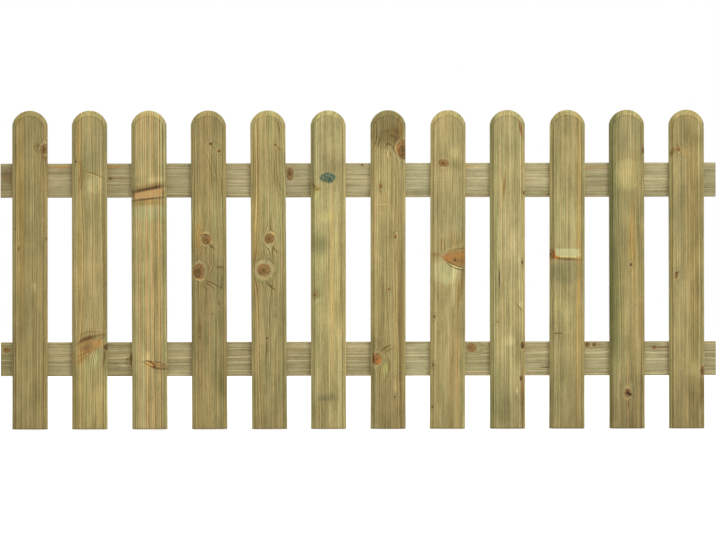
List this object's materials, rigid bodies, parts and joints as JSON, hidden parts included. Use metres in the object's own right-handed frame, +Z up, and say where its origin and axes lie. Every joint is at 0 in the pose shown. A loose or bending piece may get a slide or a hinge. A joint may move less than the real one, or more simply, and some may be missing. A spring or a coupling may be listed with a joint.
{
  "type": "wooden picket fence panel",
  "caption": "Straight garden fence panel: upright round-headed pickets with worked edges, spaced apart on the front of two horizontal rails, to be fixed to posts at its ends.",
  "frame": {"origin": "on the flat rear face of the top rail, at mid-height of the rail, in the middle of the stretch that covers the left post", "axes": "+X along the panel from the left post to the right one, +Y from the pickets through the rails to the posts, +Z up along the pickets"},
  "size_m": [1.8, 0.046, 0.8001],
  "materials": {
    "picket_wood": "matte",
    "rail_wood": "matte"
  },
  "bodies": {
    "root": {"picket_01": "picket_wood", "picket_02": "picket_wood", "picket_03": "picket_wood", "picket_04": "picket_wood", "picket_05": "picket_wood", "picket_06": "picket_wood", "picket_07": "picket_wood", "picket_08": "picket_wood", "picket_09": "picket_wood", "picket_10": "picket_wood", "picket_11": "picket_wood", "picket_12": "picket_wood", "top_rail": "rail_wood", "bottom_rail": "rail_wood"}
  },
  "joints": []
}
